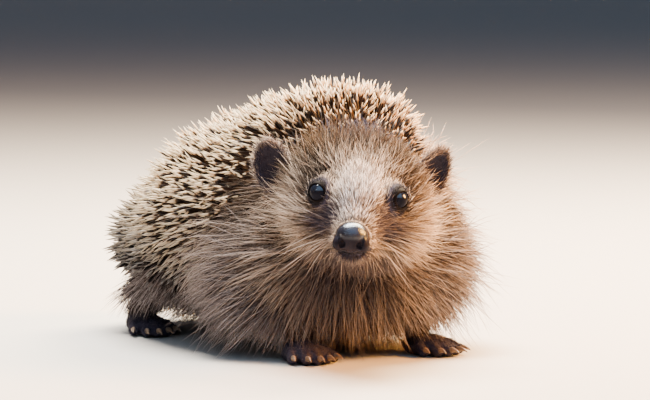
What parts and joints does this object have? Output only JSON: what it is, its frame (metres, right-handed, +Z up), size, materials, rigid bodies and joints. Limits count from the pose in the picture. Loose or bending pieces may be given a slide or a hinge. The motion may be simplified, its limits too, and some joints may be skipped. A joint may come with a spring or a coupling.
{
  "type": "hedgehog",
  "caption": "Life-size European hedgehog standing on all fours with its head turned to its right, in one fixed pose.",
  "frame": {"origin": "on the floor, under the middle of the animal's box", "axes": "+Z up, the head end towards -Y, the animal's left towards +X"},
  "size_m": [0.1002, 0.2047, 0.0909],
  "materials": {
    "quills": "satin, banded cream and dark brown",
    "fur": "matte, coarse brown-grey hair with cream tips",
    "face": "matte, short fine hair",
    "ear": "matte, dark, almost bare skin",
    "paw": "matte, thinly haired skin",
    "claw": "satin horn",
    "nose": "moist, glossy black",
    "eye": "wet, glossy black"
  },
  "bodies": {
    "root": {"back": "quills", "belly": "fur", "claw_fore_left_1": "claw", "claw_fore_left_2": "claw", "claw_fore_left_3": "claw", "claw_fore_left_4": "claw", "claw_fore_left_5": "claw", "claw_fore_right_1": "claw", "claw_fore_right_2": "claw", "claw_fore_right_3": "claw", "claw_fore_right_4": "claw", "claw_fore_right_5": "claw", "claw_hind_left_1": "claw", "claw_hind_left_2": "claw", "claw_hind_left_3": "claw", "claw_hind_left_4": "claw", "claw_hind_left_5": "claw", "claw_hind_right_1": "claw", "claw_hind_right_2": "claw", "claw_hind_right_3": "claw", "claw_hind_right_4": "claw", "claw_hind_right_5": "claw", "ear_left": "ear", "ear_right": "ear", "eye_left": "eye", "eye_right": "eye", "forefoot_left": "paw", "forefoot_right": "paw", "foreleg_left": "fur", "foreleg_right": "fur", "head": "face", "hindfoot_left": "paw", "hindfoot_right": "paw", "hindleg_left": "fur", "hindleg_right": "fur", "lower_jaw": "face", "nape": "quills", "nose": "nose", "tail": "fur", "throat": "fur"}
  },
  "joints": []
}
